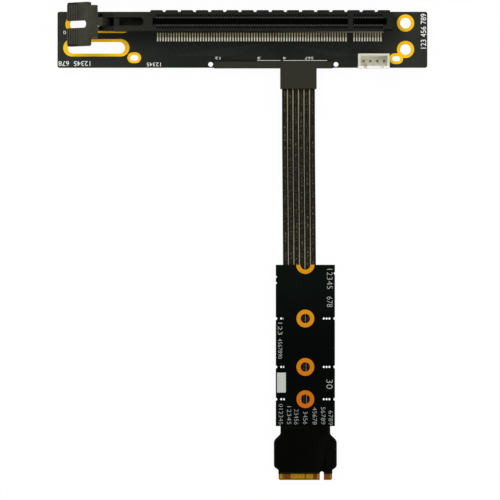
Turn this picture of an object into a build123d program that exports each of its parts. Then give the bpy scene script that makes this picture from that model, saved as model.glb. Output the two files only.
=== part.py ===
from build123d import *
import math
import os

# Adapter cable: a long board with a card slot, a flat cable of twin-conductor strips, and a
# gumstick plug board. Lengths are in millimetres. X runs along the slot, Y from the plug's tip
# towards the slot, Z up from the surface that the cable lies on.

# Slot board, measured from its lower edge (y) and its middle (x)
board_long = 137.5
board_wide = 20.8
board_thick = 1.6
board_corner = 0.8
tail_reach = 1.5  # soldered tails and pegs stand out this far below the slot board
slot_line = 16.7  # y of the card slot's centre line

# Overall reach, from which the origin is put at the middle of the footprint
tip_reach = 153.25  # from the slot board's lower edge to the tip of the edge fingers
plating = 0.05  # the gold stands this far off the boards

# Plated holes of the slot board
ring_x = 60.65
ring_near_y = 6.8
ring_spacing = 9.8
ring_hole_r = 2.0
ring_r = 3.2
drain_x, drain_y = 57.2, 3.35
drain_hole = (3.0, 1.9)
drain_ring = (5.1, 4.0)
bracket_slot_near, bracket_slot_far = (-54.3, 7.4), (-53.5, 16.15)
bracket_slot_hole = (21.2, 4.35)
bracket_slot_ring = (24.6, 6.45)
key_slot_x, key_slot_y = -40.2, 3.7
key_slot_hole = (3.1, 2.15)
key_slot_ring = (5.1, 4.0)
mould_hole_r = 0.9
mould_hole_x = (-11.8, 34.8)
mould_hole_y = 1.25

# Card slot housing
housing_left, housing_right = -35.4, 56.0
housing_wide = 6.7
housing_high = 11.25
groove_wide = 1.9
groove_deep = 8.35
groove_left, groove_right = -33.2, 53.4
groove_lead = 0.45
key_middle, key_wide = 40.0, 1.9
rib_count = 16
rib_pitch = 5.6
rib_long = 4.6
rib_proud, rib_bevel = 0.85, 0.3
ledge_proud, ledge_high = 0.4, 2.6
tunnel_high = 0.35  # space under the housing for the contact tails
overhang_lift = 0.3  # space between the fork and the gold ring that it stands over
step_long, step_deep = 3.6, 0.5

# Contacts, counted on each side of the slot
contact_pitch = 1.0
contacts_long_side, contacts_short_side = 71, 11
first_contact = -31.5
contact_wide, contact_thick = 0.42, 0.25
contact_clear = 0.09
cavity_in, cavity_out = 1.75, 2.65  # from the centre line
contact_at = 2.1
contact_high = 8.6
near_tail_end, far_tail_end = 6.8, 3.95
tail_thick = 0.2

# Latch lever in its fork
fork_left, fork_gap, fork_wall = -47.5, 3.2, 1.6
pivot_x, pivot_high = -51.0, 4.5
pivot_pin_r, pivot_clear = 1.0, 0.06
fork_r, fork_foot = 2.6, 0.8
hub_r = 2.1
lever_side_clear = 0.1
lever_body_wide = 12.0
paddle_wide, paddle_shift = 16.3, -0.9  # it reaches further on the near side
paddle_long, paddle_thick, paddle_corner = 11.3, 1.7, 0.8
paddle_slope = 45.0
paddle_root = (-6.0, 7.4)  # from the pivot
paddle_notch_wide, paddle_notch_deep, paddle_notch_round = 2.7, 10.2, 1.2
ridge_count, ridge_pitch, ridge_wide, ridge_high = 6, 1.0, 0.45, 0.3
ridge_inset, ridge_root = 0.8, 0.2
pocket_left, pocket_right, pocket_wide, pocket_deep = -45.5, -36.5, 3.1, 5.5
sill_deep = 1.2  # top of the wall between the fork and the pocket, below the housing's top

# Pegs that lock the housing to the board
peg_x = (-37.4, 53.3)
peg_r, peg_clear, peg_depth = 0.9, 0.12, 2.6

# Power header
header_left, header_near = 42.95, -0.4
header_long, header_wide, header_high = 11.6, 5.4, 7.0
header_wall, header_floor = 0.8, 1.4
header_slit_wide, header_slit_deep, header_slit_at = 1.0, 4.6, 3.1
power_pins, power_pitch, power_pin, power_pin_high = 4, 2.5, 0.64, 5.9
pin_clear = 0.1

# Cable exit overmould on the slot board
band_left, band_right, band_in, band_skin = -10.6, 33.7, 2.4, 0.2
block_left, block_right, block_out = 14.05, 27.6, 7.9
overmould_high, overmould_bevel = 4.6, 0.3

# Flat cable: two layers of strips
strips, strip_pitch = 6, 2.05
strip_wide, strip_thick = 2.0, 0.95
layer_gap = 0.05
cable_x = 20.85
upper_exit, lower_exit = 3.0, 1.6

# Gumstick plug board, measured from the tip of its fingers (v) and its middle (u)
stick_x = 23.4
stick_wide, stick_long, stick_thick = 22.0, 80.0, 0.8
stick_low = 2.2
stick_body_from = 20.0
tongue_wide, tongue_long = 19.85, 4.0
stick_waist = 16.0
tip_chamfer = 0.4
key_notch_u, key_notch_wide, key_notch_deep = 6.1, 1.5, 3.2
stick_holes_v = (30.0, 42.0, 60.0)
stick_hole_r, stick_ring_r = 1.75, 3.3
end_hole_r, end_ring_r = 1.85, 3.4
edge_notch_r = 0.6
break_hole_r = 0.42
break_holes_u = (6.85, 7.9, 8.95)
bite_r = 0.45
left_bites_v, right_bites_v = (73.2, 75.5), (76.8,)

# Edge fingers
finger_pitch, finger_wide, finger_long = 0.5, 0.35, 2.2
fingers_top, fingers_bottom = 38, 37
bare_bands = ((-7.7, -5.6), (2.9, 4.2))  # stretches of the tongue with no fingers
finger_edge = 0.1  # bare board before the tip

# Plug overmould
plug_high = 4.2
plug_neck_wide, plug_body_wide, plug_nose_wide = 18.5, 23.4, 20.1
plug_nose_v, plug_front_v, plug_shoulder_v, plug_neck_v = 2.3, 4.9, 14.6, 17.0
plug_nose_side = 1.2
plug_corner_front, plug_corner_back, plug_neck_fillet = 1.6, 2.2, 1.8
plug_bevel = 0.7

# Heights and places that follow from the sizes above
board_low = tail_reach
board_top = board_low + board_thick
paddle_out = slot_line + paddle_shift + paddle_wide / 2
board_edge = (tip_reach - paddle_out) / 2
tip = board_edge - tip_reach
stick_top = stick_low + stick_thick
housing_top = board_top + housing_high
pivot_z = board_top + pivot_high
slot_y = board_edge + slot_line
far_ring_end = bracket_slot_far[0] + bracket_slot_ring[0] / 2


def on_board(x, y, z=0.0):
    """A place on the slot board, with y from the board's lower edge."""
    return Pos(x, board_edge + y, z)


def on_stick(u, v, z=0.0):
    """A place on the gumstick board, with v from the tip of its fingers."""
    return Pos(stick_x + u, tip + v, z)


def side_profile(points, wide, middle_y=slot_y):
    """A solid from its outline in the XZ plane, centred on middle_y and wide along Y."""
    outline = make_face(Polyline(*points, close=True))
    return Pos(0, middle_y, 0) * extrude(Plane.XZ * outline, wide / 2, both=True)


def eyelet(holes, rings, low, high):
    """Gold ring of a hole, through the board and just proud of both faces."""
    return extrude(Pos(0, 0, low - plating) * (rings - holes), high - low + 2 * plating)


def contact_places():
    """The x of each contact, with the gap that the key leaves."""
    long_side = [first_contact + contact_pitch * i for i in range(contacts_long_side)]
    restart = key_middle + 1.5 * contact_pitch
    return long_side + [restart + contact_pitch * i for i in range(contacts_short_side)]


# Plated hole outlines, which the boards and the gold share
ring_pair = [on_board(ring_x, ring_near_y + ring_spacing * i) for i in range(2)]
drain_at = on_board(drain_x, drain_y)
bracket_slots_at = [on_board(*place) for place in (bracket_slot_near, bracket_slot_far)]
key_slot_at = on_board(key_slot_x, key_slot_y)
board_eyelets = [
    ([ring_pair[1] * Circle(ring_hole_r)], [ring_pair[1] * Circle(ring_r)]),
    (
        [ring_pair[0] * Circle(ring_hole_r), drain_at * SlotOverall(*drain_hole)],
        [ring_pair[0] * Circle(ring_r), drain_at * SlotOverall(*drain_ring)],
    ),
    ([key_slot_at * SlotOverall(*key_slot_hole)], [key_slot_at * SlotOverall(*key_slot_ring)]),
] + [
    ([place * SlotOverall(*bracket_slot_hole)], [place * SlotOverall(*bracket_slot_ring)])
    for place in bracket_slots_at
]


def slot_board():
    outline = on_board(0, board_wide / 2) * RectangleRounded(board_long, board_wide, board_corner)
    for _, lands in board_eyelets:
        outline -= lands
    outline -= [on_board(x, mould_hole_y) * Circle(mould_hole_r) for x in mould_hole_x]
    outline -= [on_board(x, slot_line) * Circle(peg_r + peg_clear) for x in peg_x]
    pin_hole = power_pin + 2 * pin_clear
    outline -= [place * Rectangle(pin_hole, pin_hole) for place in power_pin_places()]
    return extrude(Pos(0, 0, board_low) * outline, board_thick)


def slot_board_rings():
    rings = []
    for holes, lands in board_eyelets:
        rings.append(eyelet(Sketch() + holes, Sketch() + lands, board_low, board_top))
    return rings


def slot_housing():
    middle = (fork_left + housing_right) / 2
    long = housing_right - fork_left
    base = on_board(middle, slot_line, board_top)
    body = extrude(base * Rectangle(long, housing_wide), housing_high)
    ledge_middle = (housing_left + housing_right) / 2
    ledge = on_board(ledge_middle, slot_line - (housing_wide + ledge_proud) / 2, board_top)
    body += extrude(
        ledge * Rectangle(housing_right - housing_left, ledge_proud), ledge_high
    )

    # Stiffening ribs down the far side
    first_rib = (housing_left + housing_right - rib_pitch * (rib_count - 1)) / 2
    rib_y = slot_line + (housing_wide + rib_proud) / 2
    for i in range(rib_count):
        rib = on_board(first_rib + rib_pitch * i, rib_y, board_top)
        rib_solid = extrude(rib * Rectangle(rib_long, rib_proud), housing_high)
        body += chamfer(rib_solid.faces().sort_by(Axis.Y)[-1].edges(), rib_bevel)

    # Fork that carries the latch lever
    for side in (-1, 1):
        cheek_y = slot_y + side * (fork_gap + fork_wall) / 2
        top = pivot_z + fork_r
        foot = (pivot_x - fork_foot, pivot_z - fork_r)
        outline = make_face(
            Polyline((fork_left, board_top), (fork_left, top), (pivot_x, top))
            + ThreePointArc((pivot_x, top), (pivot_x - fork_r, pivot_z), foot)
            + Polyline(foot, (pivot_x, board_top), (fork_left, board_top))
        )
        cheek = extrude(Plane.XZ * outline, fork_wall / 2, both=True)
        body += Pos(0, cheek_y, 0) * cheek
    body -= Pos(pivot_x, slot_y, pivot_z) * Rot(90, 0, 0) * Cylinder(
        pivot_pin_r + pivot_clear, 2 * housing_wide
    )

    # Groove for the card, in two stretches with the key between them
    key_left, key_right = key_middle - key_wide / 2, key_middle + key_wide / 2
    for left, right in ((groove_left, key_left), (key_right, groove_right)):
        place = on_board((left + right) / 2, slot_line, housing_top)
        body -= extrude(place * Rectangle(right - left, groove_wide), -groove_deep)
        lead = place * Rectangle(right - left, groove_wide + 2 * groove_lead)
        foot = Pos(0, 0, -groove_lead) * place * Rectangle(right - left, groove_wide)
        body -= loft([lead.face(), foot.face()])

    # Cavities that the contacts stand in, and the space for their tails
    cavity_y = (cavity_in + cavity_out) / 2
    cavity = Rectangle(contact_wide + 2 * contact_clear, cavity_out - cavity_in)
    cavities = Sketch() + [
        on_board(x, slot_line + side * cavity_y, board_top) * cavity
        for x in contact_places()
        for side in (-1, 1)
    ]
    body -= extrude(cavities, housing_high)
    tunnel_long = groove_right - groove_left
    tunnel_middle = (groove_right + groove_left) / 2
    tunnel = on_board(tunnel_middle, slot_line, board_top)
    body -= extrude(tunnel * Rectangle(tunnel_long, 3 * housing_wide), tunnel_high)

    # Space over the gold ring that the fork stands above
    over_ring = far_ring_end + overhang_lift - (fork_left - 4 * fork_r)
    under = on_board(far_ring_end + overhang_lift - over_ring / 2, slot_line, board_top)
    body -= extrude(under * Rectangle(over_ring, 3 * housing_wide), overhang_lift)

    # Pocket beside the fork, step at the far end, and holes for the pegs
    pocket_long = pocket_right - pocket_left
    round_end = on_board(pocket_right - pocket_long / 2, slot_line) * SlotOverall(pocket_long, pocket_wide)
    square_end = on_board(pocket_left + pocket_long / 4, slot_line) * Rectangle(pocket_long / 2, pocket_wide)
    body -= extrude(Pos(0, 0, housing_top) * (round_end + square_end), -pocket_deep)
    sill = on_board((fork_left + pocket_left) / 2, slot_line, housing_top)
    body -= extrude(sill * Rectangle(pocket_left - fork_left, pocket_wide), -sill_deep)
    step = on_board(housing_right, slot_line - housing_wide / 2, board_top)
    body -= extrude(step * Rectangle(2 * step_long, 2 * step_deep), housing_high)
    for x in peg_x:
        body -= extrude(on_board(x, slot_line, board_top) * Circle(peg_r), peg_depth)
    return body


def slot_contacts(side):
    """Contacts of one side: a tail soldered to the board and a spring up the cavity."""
    inner, outer = contact_at, contact_at + contact_thick
    tail_end = near_tail_end if side < 0 else far_tail_end
    points = [
        (inner, board_top),
        (tail_end, board_top),
        (tail_end, board_top + tail_thick),
        (outer, board_top + tail_thick),
        (outer, board_top + contact_high),
        (inner, board_top + contact_high),
    ]
    outline = make_face(Polyline(*[(side * y, z) for y, z in points], close=True))
    contact = extrude(Plane.YZ * outline, contact_wide / 2, both=True)
    return [Pos(x, slot_y, 0) * contact for x in contact_places()]


def board_locks():
    """Pegs pressed into the housing, through the board."""
    return [extrude(on_board(x, slot_line) * Circle(peg_r), board_top + peg_depth) for x in peg_x]


def latch_lever():
    """Lever in its open position: hub and trunnions, web, shoulders and a ridged thumb paddle."""
    slope = math.radians(paddle_slope)
    along = Vector(-math.cos(slope), 0, -math.sin(slope))
    root = Vector(pivot_x + paddle_root[0], slot_y + paddle_shift, pivot_z + paddle_root[1])

    hub_wide = fork_gap - 2 * lever_side_clear
    lever = Cylinder(hub_r, hub_wide)
    lever += Cylinder(pivot_pin_r, fork_gap + 2 * fork_wall)
    lever = Pos(pivot_x, slot_y, pivot_z) * Rot(90, 0, 0) * lever

    # Web between the cheeks of the fork, with the nose that holds the card down
    web = [(-2.0, 0.2), (-2.6, 3.3), (-4.9, 3.3), (-5.5, 7.7), (-0.6, 8.0), (-0.6, 7.2)]
    web += [(-1.4, 6.6), (-0.5, 4.0), (1.8, 1.0)]
    lever += side_profile([(pivot_x + x, pivot_z + z) for x, z in web], hub_wide)

    # Shoulders above the fork
    shoulders = [(-3.3, 3.3), (-5.4, 4.4), (-6.6, 7.0), (-5.6, 8.0), (-2.5, 8.0), (-2.5, 3.4)]
    lever += side_profile([(pivot_x + x, pivot_z + z) for x, z in shoulders], lever_body_wide)

    # Thumb paddle, sloping down and out, with ridges across it
    blade = Box(paddle_long, paddle_wide, paddle_thick, align=(Align.MIN, Align.CENTER, Align.MAX))
    blade = fillet(blade.edges().filter_by(Axis.Z), paddle_corner)
    for i in range(ridge_count):
        at = paddle_long - ridge_wide - ridge_pitch * i
        ridge = Box(ridge_wide, paddle_wide - 2 * ridge_inset, ridge_high + ridge_root)
        blade += Pos(at, 0, (ridge_high - ridge_root) / 2) * ridge
    notch = Box(2 * paddle_notch_deep, paddle_notch_wide, 4 * paddle_thick)
    blade -= Pos(paddle_long, 0, 0) * fillet(notch.edges().filter_by(Axis.Z), paddle_notch_round)
    frame = Plane(origin=root, x_dir=along, z_dir=Vector(0, 1, 0).cross(along))
    return lever + frame * blade


def power_pin_places():
    middle = header_left + header_long / 2
    first = middle - power_pitch * (power_pins - 1) / 2
    pin_y = header_near + header_wide / 2
    return [on_board(first + power_pitch * i, pin_y) for i in range(power_pins)]


def power_header():
    middle = on_board(header_left + header_long / 2, header_near + header_wide / 2, board_top)
    shroud = extrude(middle * Rectangle(header_long, header_wide), header_high)
    inside = Pos(0, 0, header_floor) * middle
    shroud -= extrude(
        inside * Rectangle(header_long - 2 * header_wall, header_wide - 2 * header_wall),
        header_high,
    )
    for side in (-1, 1):
        slit = middle * Pos(side * header_slit_at, -header_wide / 2, header_high)
        shroud -= extrude(slit * Rectangle(header_slit_wide, 3 * header_wall), -header_slit_deep)
    for place in power_pin_places():
        shroud -= extrude(
            Pos(0, 0, board_top) * place * Rectangle(power_pin, power_pin), header_floor
        )
    return shroud


def power_header_pins():
    pins = []
    for place in power_pin_places():
        pin = extrude(place * Rectangle(power_pin, power_pin), board_top + power_pin_high)
        ends = pin.faces().filter_by(Axis.Z).edges()
        pins.append(chamfer(ends, power_pin * 0.25))
    return pins


def cable_exit_overmould():
    """Moulding over the soldered cable ends, with the board's lower edge inside it."""
    band_long = band_right - band_left
    band_wide = band_in + band_skin
    band = on_board((band_left + band_right) / 2, band_in - band_wide / 2)
    outline = band * Rectangle(band_long, band_wide)
    block_long = block_out + band_in
    block = on_board((block_left + block_right) / 2, band_in - block_long / 2)
    outline += block * Rectangle(block_right - block_left, block_long)
    mould = extrude(outline, overmould_high)
    mould = chamfer(mould.faces().sort_by(Axis.Z)[-1].edges(), overmould_bevel)
    inside = on_board(0, board_wide / 2, board_low) * Rectangle(board_long, board_wide)
    return mould - extrude(inside, board_thick)


def strip_route(exit_height, floor_height):
    """Middle of a layer of the cable: out of the block, down to the surface and on to the plug."""
    return [
        (0.0, -block_out, exit_height),
        (0.0, -block_out - 7.6, exit_height),
        (0.05, -30.0, floor_height),
        (0.3, -58.0, floor_height),
        (0.5, -97.0, floor_height),
        (1.2, -tip_reach + stick_body_from, floor_height),
    ]


def strip(route, shift, name):
    """One strip: straight runs joined by arcs as large as the runs allow."""
    points = [Vector(cable_x + shift + x, board_edge + y, z) for x, y, z in route]
    radii = []
    for before, here, after in zip(points, points[1:], points[2:]):
        run = min((here - before).length, (after - here).length)
        half_turn = math.radians((here - before).get_angle(after - here)) / 2
        radii.append(0.45 * run / math.tan(half_turn))
    path = FilletPolyline(*points, radius=radii)
    start = Plane(origin=points[0], x_dir=(1, 0, 0), z_dir=points[1] - points[0])
    section = Rectangle(strip_wide, strip_thick)
    solid = sweep(start * section, path=path.wire())
    share = solid.volume / (section.area * path.length)
    sizes = [round(r) for r in radii]
    print(name, "arc radii", sizes, "length", round(path.length, 1), "volume", round(share, 4))
    return solid


def stick_outline():
    """Outline of the gumstick board, from its tongue to the half hole at its far end."""
    body_long = stick_long - stick_body_from
    body = on_stick(0, stick_body_from + body_long / 2) * Rectangle(stick_wide, body_long)
    waist = on_stick(0, stick_body_from / 2) * Rectangle(stick_waist, stick_body_from)
    tongue = on_stick(0, tongue_long / 2) * Rectangle(tongue_wide, tongue_long)
    tongue = chamfer(tongue.vertices().group_by(Axis.Y)[0], tip_chamfer)
    return body + waist + tongue


def key_notch(wide, deep):
    """Round-ended notch that opens at the tip."""
    return on_stick(key_notch_u, 0) * Rot(0, 0, 90) * SlotOverall(2 * deep, wide)


def stick_eyelets():
    hole_sets = [(on_stick(0, v), stick_hole_r, stick_ring_r) for v in stick_holes_v]
    hole_sets.append((on_stick(0, stick_long), end_hole_r, end_ring_r))
    return hole_sets


def gumstick_board():
    outline = stick_outline() - key_notch(key_notch_wide, key_notch_deep)
    outline -= [place * Circle(land) for place, _, land in stick_eyelets()]
    for v in stick_holes_v:
        for side in (-1, 1):
            outline -= on_stick(side * stick_wide / 2, v) * RegularPolygon(edge_notch_r, 6)
            holes = [on_stick(side * u, v) for u in break_holes_u]
            outline -= [place * RegularPolygon(break_hole_r, 6) for place in holes]
    outline -= [on_stick(-stick_wide / 2, v) * RegularPolygon(bite_r, 6) for v in left_bites_v]
    outline -= [on_stick(stick_wide / 2, v) * RegularPolygon(bite_r, 6) for v in right_bites_v]
    return extrude(Pos(0, 0, stick_low) * outline, stick_thick)


def gumstick_rings():
    inside = on_stick(0, stick_long / 2) * Rectangle(stick_wide, stick_long)
    rings = []
    for place, hole, land in stick_eyelets():
        ring = eyelet(place * Circle(hole), place * Circle(land), stick_low, stick_top)
        rings.append(ring & extrude(inside, 2 * stick_top))
    return rings


def edge_fingers(count, low):
    """Gold fingers of one face of the tongue."""
    fingers = []
    for i in range(count):
        u = finger_pitch * (i - (count - 1) / 2)
        in_notch = abs(u - key_notch_u) < (key_notch_wide + finger_wide) / 2 + finger_edge
        if in_notch or any(a < u < b for a, b in bare_bands):
            continue
        pad = on_stick(u, finger_edge + tip_chamfer / 2 + finger_long / 2, low)
        fingers.append(extrude(pad * Rectangle(finger_wide, finger_long - tip_chamfer), plating))
    return fingers


def plug_overmould():
    """Moulding over the board's narrow end: neck, shoulders and nose."""
    half = [
        (plug_nose_wide / 2, plug_nose_v),
        (plug_nose_wide / 2, plug_front_v - plug_nose_side),
        (plug_body_wide / 2, plug_front_v),
        (plug_body_wide / 2, plug_shoulder_v),
        (plug_neck_wide / 2, plug_neck_v),
        (plug_neck_wide / 2, stick_body_from),
    ]
    points = [(-u, v) for u, v in half] + [(u, v) for u, v in reversed(half)]
    outline = make_face(Polyline(*points, close=True))
    corners = outline.vertices()
    outline = fillet(corners.filter_by(lambda p: abs(p.Y - plug_neck_v) < 0.01), plug_neck_fillet)
    outline = fillet(
        outline.vertices().filter_by(
            lambda p: abs(p.Y - plug_shoulder_v) < 0.01 and abs(abs(p.X) - plug_body_wide / 2) < 0.01
        ),
        plug_corner_back,
    )
    outline = fillet(
        outline.vertices().filter_by(lambda p: abs(p.Y - plug_front_v) < 0.01), plug_corner_front
    )
    mould = extrude(on_stick(0, 0) * outline, plug_high)
    top = mould.faces().sort_by(Axis.Z)[-1]
    back_edge = top.edges().sort_by(Axis.Y)[-1]
    mould = chamfer(top.edges() - ShapeList([back_edge]), plug_bevel)
    mould -= extrude(Pos(0, 0, stick_low) * stick_outline(), stick_thick)
    notch = key_notch(key_notch_wide, key_notch_deep)
    mould -= extrude(notch, plug_high)
    return mould


nodes = {
    "slot_board": slot_board(),
    "slot_board_rings": slot_board_rings(),
    "slot_housing": slot_housing(),
    "slot_contacts_near": slot_contacts(-1),
    "slot_contacts_far": slot_contacts(1),
    "board_locks": board_locks(),
    "latch_lever": latch_lever(),
    "power_header": power_header(),
    "power_header_pins": power_header_pins(),
    "cable_exit_overmould": cable_exit_overmould(),
    "gumstick_board": gumstick_board(),
    "gumstick_rings": gumstick_rings(),
    "edge_fingers_top": edge_fingers(fingers_top, stick_top),
    "edge_fingers_bottom": edge_fingers(fingers_bottom, stick_low - plating),
    "plug_overmould": plug_overmould(),
}
floor_lower = strip_thick / 2
floor_upper = floor_lower + strip_thick + layer_gap
layers = {"lower": (lower_exit, floor_lower), "upper": (upper_exit, floor_upper)}
for layer, heights in layers.items():
    for i in range(strips):
        name = f"cable_strip_{layer}_{i + 1}"
        shift = strip_pitch * (i - (strips - 1) / 2)
        nodes[name] = strip(strip_route(*heights), shift, name)

os.makedirs("parts", exist_ok=True)
for name, solids in nodes.items():
    shape = Compound(children=solids) if isinstance(solids, list) else solids
    export_step(shape, f"parts/{name}.step")
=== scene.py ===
import math

import bmesh
import bpy
import numpy as np
from mathutils import Matrix, Vector


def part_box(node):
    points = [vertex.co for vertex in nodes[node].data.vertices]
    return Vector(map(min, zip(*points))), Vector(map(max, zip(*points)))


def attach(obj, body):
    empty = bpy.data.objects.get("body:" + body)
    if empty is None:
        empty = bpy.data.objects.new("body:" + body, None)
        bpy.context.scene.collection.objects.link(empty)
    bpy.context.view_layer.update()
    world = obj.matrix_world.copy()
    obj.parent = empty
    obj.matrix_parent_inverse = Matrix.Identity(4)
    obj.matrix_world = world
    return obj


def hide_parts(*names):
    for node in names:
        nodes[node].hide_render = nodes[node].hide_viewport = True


# Adapter cable: slot board, flat cable and gumstick plug board. Lengths below are in millimetres
# unless a comment says otherwise, and mm turns them into Blender's metres.

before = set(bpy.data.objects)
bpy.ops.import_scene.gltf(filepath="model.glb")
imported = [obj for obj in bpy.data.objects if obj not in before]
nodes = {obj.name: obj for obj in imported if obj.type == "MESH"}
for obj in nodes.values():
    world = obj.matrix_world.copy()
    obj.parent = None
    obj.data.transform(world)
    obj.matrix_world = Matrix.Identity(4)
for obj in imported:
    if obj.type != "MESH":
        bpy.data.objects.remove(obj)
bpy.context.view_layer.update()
mm = 0.001
boardLow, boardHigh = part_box("slot_board")
stickLow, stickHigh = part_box("gumstick_board")
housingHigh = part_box("slot_housing")[1]
headerLow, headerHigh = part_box("power_header")
slotLine = 16.7  # the card slot's middle line, from the board's near edge
slotLineY = boardLow.y + slotLine * mm
stickMiddleX = (stickLow.x + stickHigh.x) / 2
print("frame loaded", len(nodes), "nodes")


def onBoard(x, y, lift=0.0):
    return Vector((x * mm, boardLow.y + y * mm, boardHigh.z + lift * mm))


def onStick(u, v, lift=0.0):
    return Vector((stickMiddleX + u * mm, stickLow.y + v * mm, stickHigh.z + lift * mm))


# Flat cable's sizes, which its finish and its strips share

cableSizes = {
    "strips": 6, "pitch": 2.05, "middleX": 20.85, "wide": 2.0, "thick": 0.95, "gap": 0.05,
    "blockOut": 7.9, "straight": 7.6, "upperExit": 3.0, "lowerExit": 1.6,
    "bends": ((0.05, -30.0), (0.3, -58.0), (0.5, -97.0), (1.2, -133.25)),  # across, along
    "realLength": 125.4,
}


# Shader maths

class Sock:  # a socket that takes part in Python expressions
    def __init__(self, shade, socket):
        self.shade, self.socket = shade, socket

    def math(self, operation, first, second):
        return self.shade.node("ShaderNodeMath", {"operation": operation}, {0: first, 1: second})

    def __add__(self, other):
        return self.math("ADD", self, other)

    def __radd__(self, other):
        return self.math("ADD", other, self)

    def __sub__(self, other):
        return self.math("SUBTRACT", self, other)

    def __rsub__(self, other):
        return self.math("SUBTRACT", other, self)

    def __mul__(self, other):
        return self.math("MULTIPLY", self, other)

    def __rmul__(self, other):
        return self.math("MULTIPLY", other, self)

    def __gt__(self, other):
        return self.math("GREATER_THAN", self, other)

    def __lt__(self, other):
        return self.math("LESS_THAN", self, other)

    def __abs__(self):
        return self.math("ABSOLUTE", self, 0.0)


class Shade:  # one material, or the world, and the nodes that it is made of
    def __init__(self, name, owner=None):
        self.material = owner or bpy.data.materials.new(name)
        self.material.use_nodes = True
        self.tree = self.material.node_tree
        self.tree.nodes.clear()

    def node(self, kind, settings=None, inputs=None, output=0):
        made = self.tree.nodes.new(kind)
        for key, value in (settings or {}).items():
            setattr(made, key, value)
        for key, value in (inputs or {}).items():
            self.put(made.inputs[key], value)
        return Sock(self, made.outputs[output])

    def put(self, socket, value):
        if isinstance(value, Sock):
            self.tree.links.new(value.socket, socket)
        elif socket.type == "RGBA" and len(value) == 3:
            socket.default_value = (*value, 1.0)
        else:
            socket.default_value = value

    def apart(self, vector):  # the three numbers of a vector
        made = self.tree.nodes.new("ShaderNodeSeparateXYZ")
        self.tree.links.new(vector.socket, made.inputs[0])
        return [Sock(self, made.outputs[i]) for i in range(3)]

    def place(self):  # Object coordinates in millimetres, as x, y, z
        spot = self.node("ShaderNodeTexCoord", output="Object")
        return [part * (1 / mm) for part in self.apart(spot)]

    def noise(self, scale, detail=3.0, rough=0.5):  # scale is in repeats per metre
        spot = self.node("ShaderNodeTexCoord", output="Object")
        return self.node(
            "ShaderNodeTexNoise", None,
            {"Vector": spot, "Scale": scale, "Detail": detail, "Roughness": rough},
        )

    def mix(self, share, first, second, blend="MIX"):
        made = self.tree.nodes.new("ShaderNodeMix")
        made.data_type = "RGBA"
        made.blend_type = blend
        self.put(made.inputs[0], share)
        self.put(made.inputs[6], first)
        self.put(made.inputs[7], second)
        return Sock(self, made.outputs[2])

    def span(self, value, low, high, to=(0.0, 1.0)):
        return self.node(
            "ShaderNodeMapRange", {"clamp": True},
            {0: value, 1: low, 2: high, 3: to[0], 4: to[1]},
        )

    def bump(self, height, distance, strength):  # distance is in metres
        return self.node(
            "ShaderNodeBump", None, {"Height": height, "Distance": distance, "Strength": strength}
        )

    def finish(self, **sockets):  # sockets by name, with spaces left out
        body = self.tree.nodes.new("ShaderNodeBsdfPrincipled")
        named = {socket.name.replace(" ", ""): socket for socket in body.inputs}
        for key, value in sockets.items():
            self.put(named[key], value)
        out = self.tree.nodes.new("ShaderNodeOutputMaterial")
        self.tree.links.new(body.outputs[0], out.inputs[0])
        return self.material


def edgeMask(shade):  # 1 on the upright faces of a board
    facing = shade.apart(shade.node("ShaderNodeNewGeometry", output="Normal"))
    return abs(facing[2]) < 0.6


def solderMask(name, look):  # darker and greener along the middle, paler towards the ends: a painted reflection
    shade = Shade(name)
    x = shade.place()[0]
    cloud = shade.noise(90.0, 4.0)
    weave = shade.noise(1400.0, 2.0)
    fromMiddle = abs(x - look["middle"])
    # painted reflection: the tone turns paler from the middle towards the ends
    endSheen = shade.span(fromMiddle, look["middleHalf"], look["middleHalf"] + look["fade"])
    tone = shade.mix(endSheen, look["middleTone"], look["endTone"])
    cloudy = shade.mix(1.0, tone, look["cloud"], "MULTIPLY")
    tone = shade.mix(shade.span(cloud, 0.35, 0.68), tone, cloudy)
    tone = shade.mix(edgeMask(shade), tone, look["laminate"])
    rough = 0.42 + 0.14 * shade.noise(260.0)
    height = weave * 0.6 + shade.noise(5200.0) * 0.4
    return shade.finish(
        BaseColor=tone, Roughness=rough, SpecularIORLevel=look["specular"],
        Normal=shade.bump(height, 0.00003, 0.5),
    )


def stickMask(name, look):  # black mask, paler and greener away from the tip as a painted reflection, with bare laminate where the fingers are
    shade = Shade(name)
    y = shade.place()[1]
    cloud = shade.noise(70.0, 3.0)
    fromTip = y - stickLow.y / mm
    # painted reflection: the mask turns paler and greener away from the tip, in clouds
    far = shade.span(fromTip, look["paleFrom"], look["paleTo"])
    farSheen = far * (0.6 + 0.4 * shade.span(cloud, 0.4, 0.7))
    tone = shade.mix(farSheen, look["mask"], look["maskPale"])
    tone = shade.mix(edgeMask(shade), tone, look["edge"])
    stain = shade.span(shade.noise(900.0), 0.3, 0.7)
    bare = shade.mix(stain, look["laminate"], look["laminateDark"])
    tone = shade.mix(fromTip < look["bareLong"], tone, bare)
    return shade.finish(
        BaseColor=tone, Roughness=0.40 + 0.12 * shade.noise(300.0), SpecularIORLevel=0.03,
        Normal=shade.bump(shade.noise(3800.0), 0.00003, 0.4),
    )


def gold(name, bright, deep, fade=None, bands=None, metal=0.15):
    shade = Shade(name)
    x, y = shade.place()[:2]
    wear = shade.noise(1600.0, 4.0, 0.6)
    tone = shade.mix(shade.span(wear, 0.35, 0.75), bright, deep)
    if fade:  # the gold turns from one colour to another along the board
        along = shade.span(y, fade["from"], fade["to"])
        tone = shade.mix(along, tone, fade["colour"])
    if bands:  # stretches across the board tinted dark reddish brown
        red = 0.0
        for low, high in bands["stretches"]:
            middle = stickMiddleX / mm + (low + high) / 2
            red = red + (abs(x - middle) < (high - low) / 2)
        tone = shade.mix(red * bands["share"], tone, bands["colour"])
    return shade.finish(
        BaseColor=tone, Metallic=metal, Roughness=0.34 + 0.12 * shade.noise(2400.0),
        SpecularIORLevel=0.15, Normal=shade.bump(shade.noise(7000.0), 0.00001, 0.35),
    )


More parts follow.
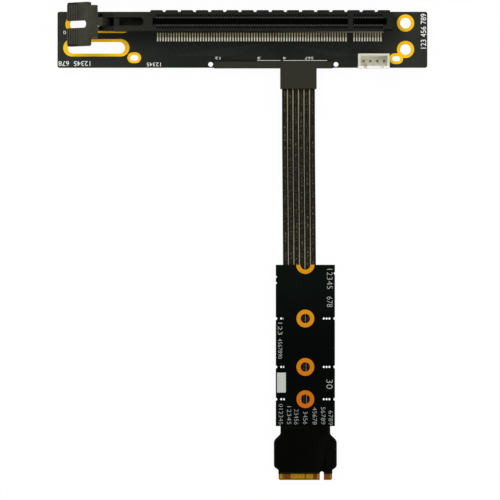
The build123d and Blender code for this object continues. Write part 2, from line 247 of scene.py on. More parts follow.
def plastic(name, colour, light, form=None, rough=0.5, specular=0.12, depth=0.00004):
    shade = Shade(name)
    cloud = shade.noise(240.0, 3.0)
    fine = shade.noise(4200.0, 2.0)
    tone = shade.mix(shade.span(cloud, 0.3, 0.75), colour, light)
    tone = shade.mix(0.35 * shade.span(fine, 0.35, 0.75), tone, light)
    if form:
        tone = form(shade, tone)
    return shade.finish(
        BaseColor=tone, Roughness=rough + 0.16 * (shade.noise(520.0) - 0.5),
        SpecularIORLevel=specular, Normal=shade.bump(fine, depth, 0.5),
    )


def housingForm(shade, tone):  # paler at the fork, painted shade on the lead-in and in the cells, and a painted highlight on the ledge
    facing = shade.apart(shade.node("ShaderNodeNewGeometry", output="Normal"))
    x, y, z = shade.place()
    leftward = shade.span(x, housingLook["leftFrom"], housingLook["leftTo"])
    tone = shade.mix(leftward, tone, housingLook["left"])
    # painted shade on the slanted lead-in faces
    slanted = (abs(facing[2]) < housingLook["level"]) * (abs(facing[2]) > housingLook["upright"])
    tone = shade.mix(slanted * 0.85, tone, housingLook["leadIn"])
    # painted shade in the cells beside the groove, below the top face
    away = abs(slotLineY / mm - y)
    deep = (away > housingLook["cellsFrom"]) * (away < housingLook["cellsTo"])
    deep = deep * (z < housingHigh.z / mm - housingLook["cellsDeep"])
    deep = deep * (x > housingLook["cellsLeft"])
    tone = shade.mix(deep, tone, housingLook["cells"])
    # painted highlight on the ledge's upward faces, growing towards the right
    beyond = (slotLineY / mm - y) > housingLook["ledgeFrom"]
    rightward = shade.span(x, housingLook["wornFrom"], housingLook["wornTo"])
    return shade.mix(beyond * (facing[2] > 0.9) * rightward, tone, housingLook["ledge"])


def latchForm(shade, tone):  # painted shade between the paddle's ridges, and a painted highlight on their tops
    x, z = shade.place()[::2]
    outward = latchLook["rootX"] - x
    upward = z - latchLook["rootZ"]
    slope = math.radians(latchLook["slope"])
    above = outward * math.sin(slope) + upward * math.cos(slope)
    along = outward * math.cos(slope) - upward * math.sin(slope)
    ridged = (along > latchLook["ridgesFrom"]) * (above > latchLook["ridgeFoot"])
    top = shade.span(above, latchLook["topFrom"], latchLook["topTo"])
    # painted shade in the valleys, then a painted highlight on the ridge tops
    tone = shade.mix(ridged * (1.0 - top), tone, latchLook["valley"])
    return shade.mix(ridged * top * 0.7, tone, latchLook["rubbed"])


def headerForm(shade, tone):  # the rim is duller than the inside, whose pale tone is painted light against the cavity's shade, and its near side is the palest, a painted highlight
    y, z = shade.place()[1:]
    rim = z > headerHigh.z / mm - headerLook["rimDeep"]
    near = (headerLow.y / mm + headerLook["nearDeep"]) > y
    tone = shade.mix(rim, tone, headerLook["rim"])
    # painted highlight along the near wall
    return shade.mix(near, tone, headerLook["near"])


def tinned(name, look):  # bright foot, partly a painted highlight, and darker and warmer where the tail leaves the housing, a painted shade
    shade = Shade(name)
    y, z = shade.place()[1:]
    away = abs(y - slotLineY / mm)
    warm = shade.span(shade.noise(420.0, 2.0), 0.35, 0.7)
    foot = shade.mix(warm * 0.6, look["bright"], look["warm"])
    bare = shade.mix(warm, look["tail"], look["tailWarm"])
    # painted shade on the tail next to the housing, against the bright foot
    tone = shade.mix(shade.span(away, look["footFrom"], look["footTo"]), bare, foot)
    base = boardHigh.z / mm
    # painted shade higher up, under the housing and inside the header
    high = shade.span(z, base + look["insideFrom"], base + look["insideTo"])
    tone = shade.mix(high, tone, look["inside"])
    return shade.finish(
        BaseColor=tone, Metallic=0.08, Roughness=0.3 + 0.2 * shade.noise(3000.0),
        Normal=shade.bump(shade.noise(9000.0), 0.00001, 0.4),
    )


def plainPrint(name, colour):
    shade = Shade(name)
    patch = shade.span(shade.noise(2600.0, 3.0), 0.25, 0.7, (0.78, 1.0))
    return shade.finish(
        BaseColor=shade.mix(patch, tuple(0.7 * c for c in colour), colour),
        Roughness=0.55 + 0.1 * shade.noise(900.0), SpecularIORLevel=0.2,
    )


def cableFilm(name, look):  # UV: u across a strip from -1 to 1 as 0 to 1, v along it in decimetres
    shade = Shade(name)
    spot = shade.apart(shade.node("ShaderNodeUVMap", {"uv_map": "along"}))
    across, along = abs(spot[0] - 0.5) * 2.0, spot[1]
    x = shade.place()[0]
    fleck = shade.noise(1500.0, 3.0, 0.6)
    streak = shade.noise(700.0, 2.0)
    between = abs(x - cableSizes["middleX"]) < look["seamReach"]  # the outer edges stay dark
    # the painted highlight on the seams stops where the strips lie under the gumstick board
    seen = shade.span(along, look["seenTo"] + 0.01, look["seenTo"])
    # pale seams on the flanges: a tan of their own with a painted highlight that is brightest near
    # both ends
    flange = shade.span(across, look["flangeFrom"], look["flangeFrom"] + 0.1) * between * seen
    ends = shade.span(abs(along - look["dimAt"]), look["dimHalf"], look["brightFrom"])
    glow = shade.mix(ends, look["flangeDim"], look["flangeBright"])
    film = shade.mix(shade.span(streak, 0.35, 0.7), look["film"], look["filmLight"])
    middle = shade.span(across, 0.30, 0.12)
    film = shade.mix(middle * shade.span(fleck, 0.53, 0.64) * 0.8, film, look["fleck"])
    tone = shade.mix(flange * shade.span(streak, 0.2, 0.6, (0.75, 1.0)), film, glow)
    return shade.finish(
        BaseColor=tone, Roughness=0.4 + 0.2 * fleck, SpecularIORLevel=0.08,
        Normal=shade.bump(streak * 0.5 + fleck * 0.5, 0.00004, 0.5),
    )


# Finishes, as linear colours

boardLook = {
    "middle": 2.0, "middleHalf": 28.0, "fade": 26.0, "middleTone": (0.0062, 0.0084, 0.0058),
    "endTone": (0.0190, 0.0200, 0.0155), "cloud": (1.35, 1.35, 1.4),
    "laminate": (0.030, 0.024, 0.012), "specular": 0.12,
}
housingLook = {
    "leftFrom": -28.0, "leftTo": -40.0, "left": (0.0185, 0.0190, 0.0135),
    "cellsLeft": -34.0, "cellsFrom": 1.3, "cellsTo": 3.2, "cellsDeep": 0.12,
    "cells": (0.0012, 0.0012, 0.0009),
    "level": 0.93, "upright": 0.3, "leadIn": (0.004, 0.004, 0.003),
    "ledgeFrom": 3.37, "wornFrom": 15.0, "wornTo": 45.0,
    "ledge": (0.24, 0.23, 0.19),
}
latchLook = {
    "rootX": -57.0, "rootZ": 15.0, "slope": 45.0, "ridgesFrom": 5.7,
    "ridgeFoot": -0.1, "topFrom": 0.1, "topTo": 0.26,
    "valley": (0.006, 0.006, 0.005), "rubbed": (0.075, 0.072, 0.056),
}
headerLook = {
    "rimDeep": 0.1, "nearDeep": 0.82, "rim": (0.66, 0.64, 0.50), "near": (0.86, 0.86, 0.82),
}
finishes = {
    "boardMask": solderMask("boardMask", boardLook),
    "traceMask": solderMask("traceMask", {
        **boardLook, "middleTone": (0.0130, 0.0156, 0.0124), "endTone": (0.0255, 0.0265, 0.0216),
    }),
    "stickMask": stickMask("stickMask", {
        "mask": (0.0005, 0.0009, 0.0009), "maskPale": (0.0024, 0.0042, 0.0030),
        "paleFrom": 50.0, "paleTo": 74.0, "edge": (0.004, 0.004, 0.0035),
        "laminate": (0.20, 0.055, 0.004), "laminateDark": (0.10, 0.026, 0.003), "bareLong": 2.9,
    }),
    "boardGold": gold("boardGold", (1.0, 0.64, 0.004), (1.0, 0.46, 0.003), metal=0.03),
    "stickGold": gold(
        "stickGold", (0.74, 0.31, 0.003), (0.58, 0.20, 0.002),
        {
            "from": stickLow.y / mm + 66.0, "to": stickLow.y / mm + 28.0,
            "colour": (0.56, 0.130, 0.001),
        },
    ),
    "fingerGold": gold(
        "fingerGold", (0.50, 0.285, 0.002), (0.37, 0.20, 0.001),
        bands={
            "stretches": ((-8.4, -5.4), (-0.25, 0.25), (2.8, 4.4), (7.1, 9.2)), "share": 0.85,
            "colour": (0.15, 0.030, 0.002),
        },
    ),
    "springTip": gold("springTip", (0.18, 0.17, 0.14), (0.085, 0.080, 0.065)),
    "housing": plastic(
        "housing", (0.0088, 0.0092, 0.0066), (0.0155, 0.0160, 0.0115), housingForm, specular=0.08
    ),
    "latch": plastic(
        "latch", (0.029, 0.029, 0.0195), (0.044, 0.042, 0.027), latchForm, rough=0.46,
        specular=0.13,
    ),
    "header": plastic(
        "header", (0.96, 0.94, 0.78), (0.99, 0.98, 0.86), headerForm, rough=0.42, specular=0.3,
        depth=0.00002,
    ),
    "blockMould": plastic(
        "blockMould", (0.0235, 0.0235, 0.0150), (0.0265, 0.0262, 0.0170), rough=0.55, depth=0.00002
    ),
    "plugMould": plastic(
        "plugMould", (0.0005, 0.0005, 0.0003), (0.0010, 0.0010, 0.0007), rough=0.32,
        specular=0.04, depth=0.00001,
    ),
    "tin": tinned("tin", {
        "bright": (1.0, 0.98, 0.84), "warm": (0.70, 0.62, 0.40), "tail": (0.56, 0.50, 0.30),
        "tailWarm": (0.32, 0.26, 0.15), "footFrom": 5.3, "footTo": 5.7,
        "inside": (0.055, 0.048, 0.034), "insideFrom": 1.5, "insideTo": 3.0,
    }),
    "solder": plainPrint("solder", (1.0, 0.97, 0.82)),
    "print": plainPrint("print", (0.90, 0.91, 0.87)),
    "stickInk": plainPrint("stickInk", (0.50, 0.52, 0.47)),
    "finePrint": plainPrint("finePrint", (0.42, 0.44, 0.42)),
    "cable": cableFilm("cable", {
        "flangeFrom": 0.77, "flangeDim": (0.070, 0.062, 0.028),
        "flangeBright": (0.26, 0.243, 0.125), "film": (0.0058, 0.0050, 0.0024),
        "filmLight": (0.0125, 0.0106, 0.0050), "fleck": (0.17, 0.140, 0.070),
        "seamReach": 5.4, "seenTo": 0.66, "dimAt": 0.36, "dimHalf": 0.12, "brightFrom": 0.34,
    }),
}
print("finishes made", len(finishes))


def addPiece(name, mesh, finish, body="base", stands=()):
    piece = bpy.data.objects.new(name, mesh)
    bpy.context.scene.collection.objects.link(piece)
    mesh.materials.clear()
    mesh.materials.append(finishes[finish])
    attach(piece, body)
    if stands:
        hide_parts(*stands)
    return piece


def meshOf(name, bm):
    mesh = bpy.data.meshes.new(name)
    bm.normal_update()
    bm.to_mesh(mesh)
    bm.free()
    return mesh


def blockMesh(name, sides, topScale):
    # a low block on z = 0, drawn in towards its top
    bm = bmesh.new()
    wide, long, high = (s * mm for s in sides)
    corners = [(-0.5, -0.5), (0.5, -0.5), (0.5, 0.5), (-0.5, 0.5)]
    low = [bm.verts.new((x * wide, y * long, 0.0)) for x, y in corners]
    inset = (1 - topScale) * wide
    top = [bm.verts.new((x * (wide - inset), y * (long - inset), high)) for x, y in corners]
    for k in range(4):
        j = (k + 1) % 4
        bm.faces.new((low[k], low[j], top[j], top[k]))
    bm.faces.new(top)
    bm.faces.new(list(reversed(low)))
    return meshOf(name, bm)


softSizes = {  # angles in degrees, weld in metres
    "weld": 2e-6, "flat": 1.0, "segments": 2, "sharp": 28.0, "smooth": 40.0,
}


def softened(node, finish, width, body):
    # a copy of a moulded node with its sharp edges rounded inwards
    sizes = softSizes
    bm = bmesh.new()
    bm.from_mesh(nodes[node].data)
    bmesh.ops.remove_doubles(bm, verts=bm.verts, dist=sizes["weld"])
    flat = math.radians(sizes["flat"])
    bmesh.ops.dissolve_limit(bm, angle_limit=flat, verts=bm.verts, edges=bm.edges)
    mesh = meshOf(node + "_soft", bm)
    piece = bpy.data.objects.new(node + "_soft", mesh)
    bpy.context.scene.collection.objects.link(piece)
    rounding = piece.modifiers.new("rounding", "BEVEL")
    rounding.width = width * mm
    rounding.segments = sizes["segments"]
    rounding.limit_method = "ANGLE"
    rounding.angle_limit = math.radians(sizes["sharp"])
    rounding.miter_outer = "MITER_ARC"
    rounding.use_clamp_overlap = True
    bpy.context.view_layer.update()
    shown = piece.evaluated_get(bpy.context.evaluated_depsgraph_get())
    done = bpy.data.meshes.new_from_object(shown)
    bpy.data.objects.remove(piece)
    done.shade_smooth()
    done.set_sharp_from_angle(angle=math.radians(sizes["smooth"]))
    return addPiece(node + "_soft", done, finish, body, [node])


# Parts that keep their construction shape

carried = {
    "slot_board": "boardMask", "slot_board_rings": "boardGold", "slot_housing": "housing",
    "slot_contacts_near": "tin", "slot_contacts_far": "tin", "board_locks": "housing",
    "power_header_pins": "tin", "gumstick_board": "stickMask", "gumstick_rings": "stickGold",
    "edge_fingers_top": "fingerGold", "edge_fingers_bottom": "fingerGold",
}
for node, finish in carried.items():
    nodes[node].data.materials.clear()
    nodes[node].data.materials.append(finishes[finish])
print("construction parts finished", len(carried))


# Moulded parts, with the small rounding that a mould leaves on their edges

moulded = {  # finish, slot, rounding, body
    "latch_lever": ("latch", "latch_black", 0.12, "latch"),
    "power_header": ("header", "header_white", 0.10, "base"),
    "cable_exit_overmould": ("blockMould", "overmould_brown", 0.18, "base"),
    "plug_overmould": ("plugMould", "overmould_black", 0.30, "base"),
}
for node, (finish, slot, width, body) in moulded.items():
    softened(node, finish, width, body)
print("moulded parts rounded", len(moulded))


# Floor between the cheeks of the fork, under the latch lever

forkFloor = {"x": -49.1, "long": 3.2, "wide": 3.2, "low": 0.3, "high": 0.9, "topScale": 0.98}


def makeForkFloor():
    sizes = forkFloor
    sides = (sizes["long"], sizes["wide"], sizes["high"])
    mesh = blockMesh("fork_floor", sides, sizes["topScale"])
    place = Vector((sizes["x"] * mm, slotLineY, boardHigh.z + sizes["low"] * mm))
    mesh.transform(Matrix.Translation(place))
    addPiece("fork_floor", mesh, "housing")
    print("fork floor made")


makeForkFloor()


# Flat cable: two layers of strips, each on its own spline

def stripPoints(exitHigh, floorHigh):  # x, y from the slot board's lower edge, height
    out = -cableSizes["blockOut"]
    leaving = [(0.0, out, exitHigh), (0.0, out - cableSizes["straight"], exitHigh)]
    return leaving + [(x, y, floorHigh) for x, y in cableSizes["bends"]]


def splineLine(points):  # the smooth line of a spline with these control points
    curve = bpy.data.curves.new("route", "CURVE")
    curve.dimensions = "3D"
    curve.resolution_u = 10
    spline = curve.splines.new("NURBS")
    spline.points.add(len(points) - 1)
    for point, place in zip(spline.points, points):
        point.co = (*place, 1.0)
    spline.order_u = 3
    spline.use_endpoint_u = True
    holder = bpy.data.objects.new("route", curve)
    line = bpy.data.meshes.new_from_object(holder)
    spots = [v.co.copy() for v in line.vertices]
    bpy.data.objects.remove(holder)
    bpy.data.meshes.remove(line)
    return spots


def stripSection():  # half across, height above the middle: two conductors between thin flanges
    half = cableSizes["thick"] / 2
    upper = [
        (-1.0, 0.10), (-0.86, 0.13), (-0.79, 0.24), (-0.70, 0.37), (-0.56, 0.45), (-0.42, 0.475),
        (-0.27, 0.455), (-0.12, 0.425), (0.0, 0.415), (0.12, 0.425), (0.27, 0.455), (0.42, 0.475),
        (0.56, 0.45), (0.70, 0.37), (0.79, 0.24), (0.86, 0.13), (1.0, 0.10),
    ]
    upper = [(x * cableSizes["wide"] / 2, z * half / 0.475) for x, z in upper]
    return upper + [(x, -z) for x, z in reversed(upper)]


def stripMesh(name, line):
    section = stripSection()
    bm = bmesh.new()
    layer = bm.loops.layers.uv.new("along")
    rings, along = [], 0.0
    for i, spot in enumerate(line):
        before, after = line[max(i - 1, 0)], line[min(i + 1, len(line) - 1)]
        run = (after - before).normalized()
        side = -run.cross(Vector((0, 0, 1))).normalized()
        up = run.cross(side)
        if up.z < 0:
            up = -up
        along += (spot - before).length if i else 0.0
        ring = [bm.verts.new(spot + side * (x * mm) + up * (z * mm)) for x, z in section]
        rings.append((ring, along * 10))
    count = len(section)
    acrossOf = [(x / cableSizes["wide"] + 0.5) for x, z in section]
    for (ring, low), (following, high) in zip(rings, rings[1:]):
        for k in range(count):
            j = (k + 1) % count
            face = bm.faces.new((ring[k], ring[j], following[j], following[k]))
            left, right = acrossOf[k], acrossOf[j]
            places = ((left, low), (right, low), (right, high), (left, high))
            for loop, uv in zip(face.loops, places):
                loop[layer].uv = uv
            face.smooth = True
    bm.faces.new(rings[0][0])
    bm.faces.new(list(reversed(rings[-1][0])))
    bmesh.ops.recalc_face_normals(bm, faces=bm.faces)
    return meshOf(name, bm)


def makeCable():
    sizes = cableSizes
    floorLower = sizes["thick"] / 2
    floorUpper = floorLower + sizes["thick"] + sizes["gap"]
    layers = {"lower": (sizes["lowerExit"], floorLower), "upper": (sizes["upperExit"], floorUpper)}
    for layer, heights in layers.items():
        for i in range(sizes["strips"]):
            shift = sizes["middleX"] + sizes["pitch"] * (i - (sizes["strips"] - 1) / 2)
            route = [
                Vector(((shift + x) * mm, boardLow.y + y * mm, z * mm))
                for x, y, z in stripPoints(*heights)
            ]
            line = splineLine(route)
            node = f"cable_strip_{layer}_{i + 1}"
            mesh = stripMesh(node + "_film", line)
            piece = addPiece(node + "_film", mesh, "cable", "base", [node])
    print("cable made", 2 * sizes["strips"], "strips")


makeCable()


# Repeats along rows, made by Geometry Nodes and baked to a plain mesh

def rowsTree(name, rows, finish):
    tree = bpy.data.node_groups.new(name, "GeometryNodeTree")
    tree.interface.new_socket("Shape", in_out="INPUT", socket_type="NodeSocketGeometry")
    for i in range(len(rows)):
        tree.interface.new_socket(f"Start {i}", in_out="INPUT", socket_type="NodeSocketVector")
        tree.interface.new_socket(f"Step {i}", in_out="INPUT", socket_type="NodeSocketVector")
        tree.interface.new_socket(f"Count {i}", in_out="INPUT", socket_type="NodeSocketInt")
    tree.interface.new_socket("Rows", in_out="OUTPUT", socket_type="NodeSocketGeometry")
    given = tree.nodes.new("NodeGroupInput")
    joined = tree.nodes.new("GeometryNodeJoinGeometry")
    for i in range(len(rows)):
        line = tree.nodes.new("GeometryNodeMeshLine")
        tree.links.new(given.outputs[f"Count {i}"], line.inputs["Count"])
        tree.links.new(given.outputs[f"Start {i}"], line.inputs["Start Location"])
        tree.links.new(given.outputs[f"Step {i}"], line.inputs["Offset"])
        tree.links.new(line.outputs[0], joined.inputs[0])
    copies = tree.nodes.new("GeometryNodeInstanceOnPoints")
    tree.links.new(joined.outputs[0], copies.inputs["Points"])
    tree.links.new(given.outputs["Shape"], copies.inputs["Instance"])
    real = tree.nodes.new("GeometryNodeRealizeInstances")
    tree.links.new(copies.outputs[0], real.inputs[0])
    painted = tree.nodes.new("GeometryNodeSetMaterial")
    painted.inputs["Material"].default_value = finishes[finish]
    tree.links.new(real.outputs[0], painted.inputs[0])
    out = tree.nodes.new("NodeGroupOutput")
    tree.links.new(painted.outputs[0], out.inputs[0])
    return tree


def repeatRows(name, shape, rows, finish):
    # rows holds (start, step, count), and shape is a small mesh about the origin
    seed = bpy.data.objects.new(name + "_seed", shape)
    bpy.context.scene.collection.objects.link(seed)
    tree = rowsTree(name + "Rows", rows, finish)
    spread = seed.modifiers.new("rows", "NODES")
    spread.node_group = tree
    sockets = {item.name: item.identifier for item in tree.interface.items_tree}
    for i, (start, step, count) in enumerate(rows):
        spread[sockets[f"Start {i}"]] = tuple(start)
        spread[sockets[f"Step {i}"]] = tuple(step)
        spread[sockets[f"Count {i}"]] = count
    bpy.context.view_layer.update()
    shown = seed.evaluated_get(bpy.context.evaluated_depsgraph_get())
    mesh = bpy.data.meshes.new_from_object(shown)
    bpy.data.objects.remove(seed)
    return addPiece(name, mesh, finish)


# Solder feet of the contacts, and their tips beside the groove

contactSizes = {
    "pitch": 1.0, "first": -31.5, "longCount": 71, "restart": 41.5, "shortCount": 11,
    "padWide": 0.50, "padLong": 1.5, "padHigh": 0.05, "padAt": 6.12,
    "filletWide": 0.48, "filletLong": 1.35, "filletHigh": 0.26,
    "tipWide": 0.36, "tipLong": 0.3, "tipHigh": 0.3, "tipAt": 1.4, "tipDown": 0.28,
}


def contactRows(away, height, sides=(-1, 1)):  # rows beside the slot's middle line
    sizes = contactSizes
    step = Vector((sizes["pitch"] * mm, 0, 0))
    runs = ((sizes["first"], sizes["longCount"]), (sizes["restart"], sizes["shortCount"]))
    rows = []
    for side in sides:
        for first, count in runs:
            rows.append((Vector((first * mm, slotLineY + side * away * mm, height)), step, count))
    return rows


def makeContactDetail():
    sizes = contactSizes
    pad = blockMesh("pad", (sizes["padWide"], sizes["padLong"], sizes["padHigh"]), 0.8)
    near = contactRows(sizes["padAt"], boardHigh.z, (-1,))
    repeatRows("contact_pads", pad, near, "solder")
    sides = (sizes["filletWide"], sizes["filletLong"], sizes["filletHigh"])
    fillet = blockMesh("fillet", sides, 0.55)
    repeatRows("contact_solder", fillet, near, "solder")
    tip = blockMesh("tip", (sizes["tipWide"], sizes["tipLong"], sizes["tipHigh"]), 0.9)
    both = contactRows(sizes["tipAt"], housingHigh.z - sizes["tipDown"] * mm)
    repeatRows("contact_tips", tip, both, "springTip")
    print("contact pads, solder and tips made")


makeContactDetail()


# Solder round the header's pins, under the slot board

jointSizes = {
    "rings": 4, "round": 16, "outer": 0.85, "inner": 0.36, "high": 0.75,
    "pins": 4, "pinWide": 0.64,
}


def solderCone():
    sizes = jointSizes
    bm = bmesh.new()
    turn = [2 * math.pi * k / sizes["round"] for k in range(sizes["round"])]
    rings = []
    for i in range(sizes["rings"] + 1):
        share = i / sizes["rings"]
        radius = sizes["inner"] + (sizes["outer"] - sizes["inner"]) * (1 - share) ** 2
        z = -share * sizes["high"] * mm
        rings.append([
            bm.verts.new((radius * mm * math.cos(a), radius * mm * math.sin(a), z)) for a in turn
        ])
    for low, high in zip(rings, rings[1:]):
        for k in range(sizes["round"]):
            j = (k + 1) % sizes["round"]
            bm.faces.new((low[k], high[k], high[j], low[j])).smooth = True
    bm.faces.new(rings[0])
    bm.faces.new(list(reversed(rings[-1])))
    bmesh.ops.recalc_face_normals(bm, faces=bm.faces)
    return meshOf("solderCone", bm)


pinLow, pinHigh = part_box("power_header_pins")
pinWide = jointSizes["pinWide"] * mm
pinGap = (pinHigh.x - pinLow.x - pinWide) / (jointSizes["pins"] - 1)
pinStart = Vector((pinLow.x + pinWide / 2, (pinLow.y + pinHigh.y) / 2, boardLow.z))
pinRow = [(pinStart, Vector((pinGap, 0, 0)), jointSizes["pins"])]
repeatRows("pin_solder", solderCone(), pinRow, "solder")


# Traces under the slot board's mask

traceSizes = {
    "wide": 0.11, "high": 0.012, "from": 9.3, "lead": 0.4, "to": 2.8, "apart": 0.18,
    "lowest": 4.4, "level": 0.36,
    "fans": (  # first and last start, first and last end, pairs, way along the board
        (-30.3, 2.7, -2.0, 12.6, 12, 1),
        (24.7, 51.2, 15.4, 31.4, 10, -1),
    ),
}


def ribbon(bm, points, wide, high):
    # a thin flat strip along points in the board's own x and y
    sides = []
    for i, here in enumerate(points):
        before, after = points[max(i - 1, 0)], points[min(i + 1, len(points) - 1)]
        first = (here - before).normalized() if i else (after - here).normalized()
        last = (after - here).normalized() if i < len(points) - 1 else first
        normal = Vector((-first.y - last.y, first.x + last.x))
        normal.normalize()
        reach = wide / 2 / max(normal.dot(Vector((-first.y, first.x))), 0.5)
        sides.append((here + normal * reach, here - normal * reach))
    quads = []
    for left, right in sides:
        corners = [onBoard(p.x, p.y, lift) for lift in (0.0, high) for p in (left, right)]
        quads.append([bm.verts.new(v) for v in corners])
    for a, b in zip(quads, quads[1:]):
        bm.faces.new((a[2], a[3], b[3], b[2]))
        bm.faces.new((a[0], b[0], b[1], a[1]))
        bm.faces.new((a[0], a[2], b[2], b[0]))
        bm.faces.new((a[1], b[1], b[3], a[3]))
    bm.faces.new((quads[0][0], quads[0][1], quads[0][3], quads[0][2]))
    bm.faces.new((quads[-1][0], quads[-1][2], quads[-1][3], quads[-1][1]))


def fanRoute(start, end, level, way):
    # down from a tail, across at 45 degrees, level, and at 45 degrees to its end
    sizes = traceSizes
    bend = sizes["from"] - sizes["lead"]
    fall, drop = bend - level, level - sizes["to"]
    if abs(end - start) < fall + drop + 1.0:
        return None
    places = (
        (start, sizes["from"]), (start, bend), (start + way * fall, level),
        (end - way * drop, level), (end, sizes["to"]),
    )
    return [Vector(place) for place in places]


def makeTraces():
    sizes = traceSizes
    bm = bmesh.new()
    made = 0
    for first, last, endFirst, endLast, pairs, way in sizes["fans"]:
        for i in range(pairs):
            share = i / (pairs - 1)
            order = i if way > 0 else pairs - 1 - i
            for offset in (0.0, sizes["apart"]):  # a pair runs together
                route = fanRoute(
                    first + (last - first) * share + offset,
                    endFirst + (endLast - endFirst) * share + offset,
                    sizes["lowest"] + sizes["level"] * order + offset * way, way,
                )
                if route:
                    ribbon(bm, route, sizes["wide"], sizes["high"])
                    made += 1
    bmesh.ops.recalc_face_normals(bm, faces=bm.faces)
    addPiece("board_traces", meshOf("board_traces", bm), "traceMask")
    print("traces made", made)


makeTraces()


# White print: plain numbers, lines and a bare field

printHigh = 0.016


def addText(bm, text, high, long, place, degrees, thin=0.0):
    # plain digits as a mesh, drawn out to this height and length about their middle
    words = bpy.data.curves.new("words", "FONT")
    words.body = text
    words.size = high * mm
    words.resolution_u = 3
    words.offset = -thin * high * mm
    holder = bpy.data.objects.new("words", words)
    bpy.context.scene.collection.objects.link(holder)
    bpy.context.view_layer.update()
    mesh = bpy.data.meshes.new_from_object(holder)
    corners = np.array([v.co for v in mesh.vertices])
    low, size = corners.min(axis=0), np.ptp(corners, axis=0)
    middle = Matrix.Translation([-low[0] - size[0] / 2, -low[1] - size[1] / 2, 0])
    drawn = Matrix.Diagonal((long * mm / size[0], high * mm / size[1], 1, 1))
    turn = Matrix.Rotation(math.radians(degrees), 4, "Z")
    mesh.transform(Matrix.Translation(place) @ turn @ drawn @ middle)
    flat = bmesh.new()
    flat.from_mesh(mesh)
    flat.verts.index_update()
    low = [bm.verts.new(v.co) for v in flat.verts]
    top = [bm.verts.new(v.co + Vector((0, 0, printHigh * mm))) for v in flat.verts]
    made = []
    for face in flat.faces:
        around = [v.index for v in face.verts]
        made.append(bm.faces.new([top[i] for i in around]))
        made.append(bm.faces.new([low[i] for i in reversed(around)]))
    for edge in flat.edges:
        if edge.is_boundary:
            loop = edge.link_loops[0]
            i, j = loop.vert.index, loop.link_loop_next.vert.index
            made.append(bm.faces.new((low[i], low[j], top[j], top[i])))
    bmesh.ops.recalc_face_normals(bm, faces=made)
    flat.free()
    bpy.data.objects.remove(holder)
    bpy.data.meshes.remove(mesh)


def addBar(bm, place, wide, long):
    made = bmesh.ops.create_cube(bm, size=1.0)
    shape = Matrix.Diagonal((wide * mm, long * mm, printHigh * mm, 1.0))
    bmesh.ops.transform(bm, matrix=Matrix.Translation(place) @ shape, verts=made["verts"])


boardPrint = {
    "lift": 0.012, "lineAt": 2.68, "lineWide": 0.22, "lines": ((5.5, 14.2), (15.1, 31.5)),
    "numbers": (  # text, middle, height of a digit, length, turn in degrees
        ("12345", (-59.6, 1.56), 1.8, 6.1, 180), ("678", (-66.4, 1.56), 1.8, 3.9, 180),
        ("12345", (-32.95, 1.22), 1.4, 5.2, 180), ("123 456 789", (67.3, 13.6), 2.0, 12.9, 90),
        ("0", (-66.1, 13.1), 1.3, 1.0, 180), ("12", (-9.15, 3.55), 0.95, 1.9, 180),
        ("3", (6.2, 3.55), 0.95, 1.2, 180), ("4", (15.7, 3.55), 0.95, 1.2, 180),
        ("567", (24.8, 3.55), 0.95, 3.1, 180),
    ),
}
stickPrint = {
    "numbers": (  # text, place from the middle and from the tip, height of a digit, length
        ("12345", (9.05, 74.7), 2.1, 7.4), ("678", (9.05, 66.2), 2.1, 3.8),
        ("123", (-9.4, 56.2), 1.6, 4.4), ("4567890", (-9.4, 48.8), 1.5, 7.4),
        ("30", (9.0, 35.6), 2.3, 3.4),
    ),
    "columns": (  # place from the middle, its two ends from the tip
        (-9.14, 28.2, 20.6), (-6.05, 27.3, 20.7), (-3.37, 26.3, 20.6), (0.01, 25.4, 20.7),
        (3.5, 27.0, 20.6), (6.63, 27.1, 20.7), (9.42, 25.7, 20.4),
    ),
    "thin": 0.022, "columnHigh": 1.55, "columnPitch": 1.25,
    "boxU": -8.9, "boxV": 36.2, "boxWide": 3.3, "boxLong": 7.4,
}


def makePrint():
    sizes = boardPrint
    bm = bmesh.new()
    for left, right in sizes["lines"]:
        middle = onBoard((left + right) / 2, sizes["lineAt"], sizes["lift"])
        addBar(bm, middle, right - left, sizes["lineWide"])
    for text, (x, y), high, long, turn in sizes["numbers"]:
        addText(bm, text, high, long, onBoard(x, y, sizes["lift"]), turn)
    addPiece("board_print", meshOf("board_print", bm), "print")

    lift = sizes["lift"]
    sizes = stickPrint
    bm = bmesh.new()
    for text, (u, v), high, long in sizes["numbers"]:
        addText(bm, text, high, long, onStick(u, v, lift), -90, sizes["thin"])
    addBar(bm, onStick(sizes["boxU"], sizes["boxV"], lift), sizes["boxWide"], sizes["boxLong"])
    addPiece("stick_print", meshOf("stick_print", bm), "stickInk")

    bm = bmesh.new()
    for i, (u, top, low) in enumerate(sizes["columns"]):
        count = round((top - low) / sizes["columnPitch"])
        digits = "".join(str((i + k) % 10) for k in range(count))
        middle = onStick(u, (top + low) / 2, lift)
        addText(bm, digits, sizes["columnHigh"], top - low, middle, -90, sizes["thin"])
    addPiece("stick_columns", meshOf("stick_columns", bm), "finePrint")
    print("print made")


makePrint()


# Floor, light and camera

stageLook = {  # floorSize and floorDrop in metres
    "floorSize": 3.0, "floorDrop": 0.00004, "paper": (0.92, 0.92, 0.92), "glow": 0.96,
    "zenith": 0.30, "horizon": 0.90,
    "lamps": (  # name, place in metres, size, power in watts
        ("key", (-0.35, 0.45, 0.75), 0.5, 4.0),
        ("fill", (0.6, -0.2, 0.7), 0.6, 2.8),
    ),
}


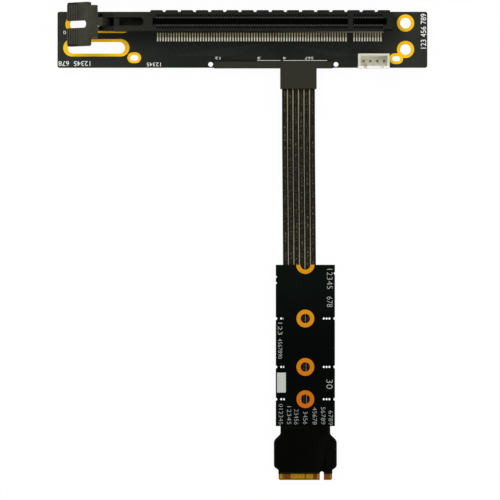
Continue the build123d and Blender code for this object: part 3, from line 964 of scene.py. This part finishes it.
def makeFloor():  # white paper that still takes the object's shadow
    look = stageLook
    mesh = bpy.data.meshes.new("floor")
    bm = bmesh.new()
    bmesh.ops.create_grid(bm, x_segments=1, y_segments=1, size=look["floorSize"])
    bm.to_mesh(mesh)
    bm.free()
    floor = bpy.data.objects.new("floor", mesh)
    floor.location.z = -look["floorDrop"]
    bpy.context.scene.collection.objects.link(floor)
    shade = Shade("floorPaper")
    seen = [
        shade.node("ShaderNodeLightPath", output=ray)
        for ray in ("Is Camera Ray", "Is Glossy Ray", "Is Transmission Ray")
    ]
    share = (seen[0] + seen[1] + seen[2]) * look["glow"]
    paper = shade.node("ShaderNodeBsdfDiffuse", None, {"Color": look["paper"]})
    glow = shade.node("ShaderNodeEmission", None, {"Color": (1.0, 1.0, 1.0), "Strength": 1.0})
    both = shade.node("ShaderNodeMixShader", None, {0: share, 1: paper, 2: glow})
    out = shade.tree.nodes.new("ShaderNodeOutputMaterial")
    shade.tree.links.new(both.socket, out.inputs[0])
    mesh.materials.append(shade.material)


def makeSky():  # brighter towards the horizon, and white where the camera sees it
    world = bpy.data.worlds.new("studio")
    bpy.context.scene.world = world
    shade = Shade("studio", world)
    upward = shade.apart(shade.node("ShaderNodeTexCoord", output="Generated"))[2]
    level = shade.span(upward, 0.0, 1.0, (stageLook["horizon"], stageLook["zenith"]))
    camera = shade.node("ShaderNodeLightPath", output="Is Camera Ray")
    strength = level + camera * (1.0 - level)
    white = {"Color": (1.0, 1.0, 1.0), "Strength": strength}
    sky = shade.node("ShaderNodeBackground", None, white)
    out = shade.tree.nodes.new("ShaderNodeOutputWorld")
    shade.tree.links.new(sky.socket, out.inputs[0])


def makeStage():
    makeFloor()
    makeSky()
    for name, place, size, power in stageLook["lamps"]:
        lamp = bpy.data.lights.new(name, "AREA")
        lamp.size = size
        lamp.energy = power
        holder = bpy.data.objects.new(name, lamp)
        holder.location = place
        holder.rotation_euler = (-Vector(place)).to_track_quat("-Z", "Y").to_euler()
        bpy.context.scene.collection.objects.link(holder)


view = {
    "pixels": 500.0, "perMillimetre": 2.69, "middle": (250.0, 250.0),
    "boardMiddleX": 242.4, "boardEdgeY": 67.7, "high": 1800.0, "sensor": 36.0,
}


def makeCamera():
    # looks straight down, with the picture's middle found from where the slot board lies in it
    x = (view["middle"][0] - view["boardMiddleX"]) / view["perMillimetre"]
    y = (view["boardEdgeY"] - view["middle"][1]) / view["perMillimetre"]
    lens = bpy.data.cameras.new("camera")
    lens.sensor_width = view["sensor"]
    lens.lens = view["sensor"] * view["high"] / (view["pixels"] / view["perMillimetre"])
    lens.clip_start = 0.01
    camera = bpy.data.objects.new("camera", lens)
    camera.location = (x * mm, boardLow.y + y * mm, boardHigh.z + view["high"] * mm)
    bpy.context.scene.collection.objects.link(camera)
    bpy.context.scene.camera = camera


makeStage()
makeCamera()
bpy.context.scene.view_settings.view_transform = "Standard"
print("stage and camera made")
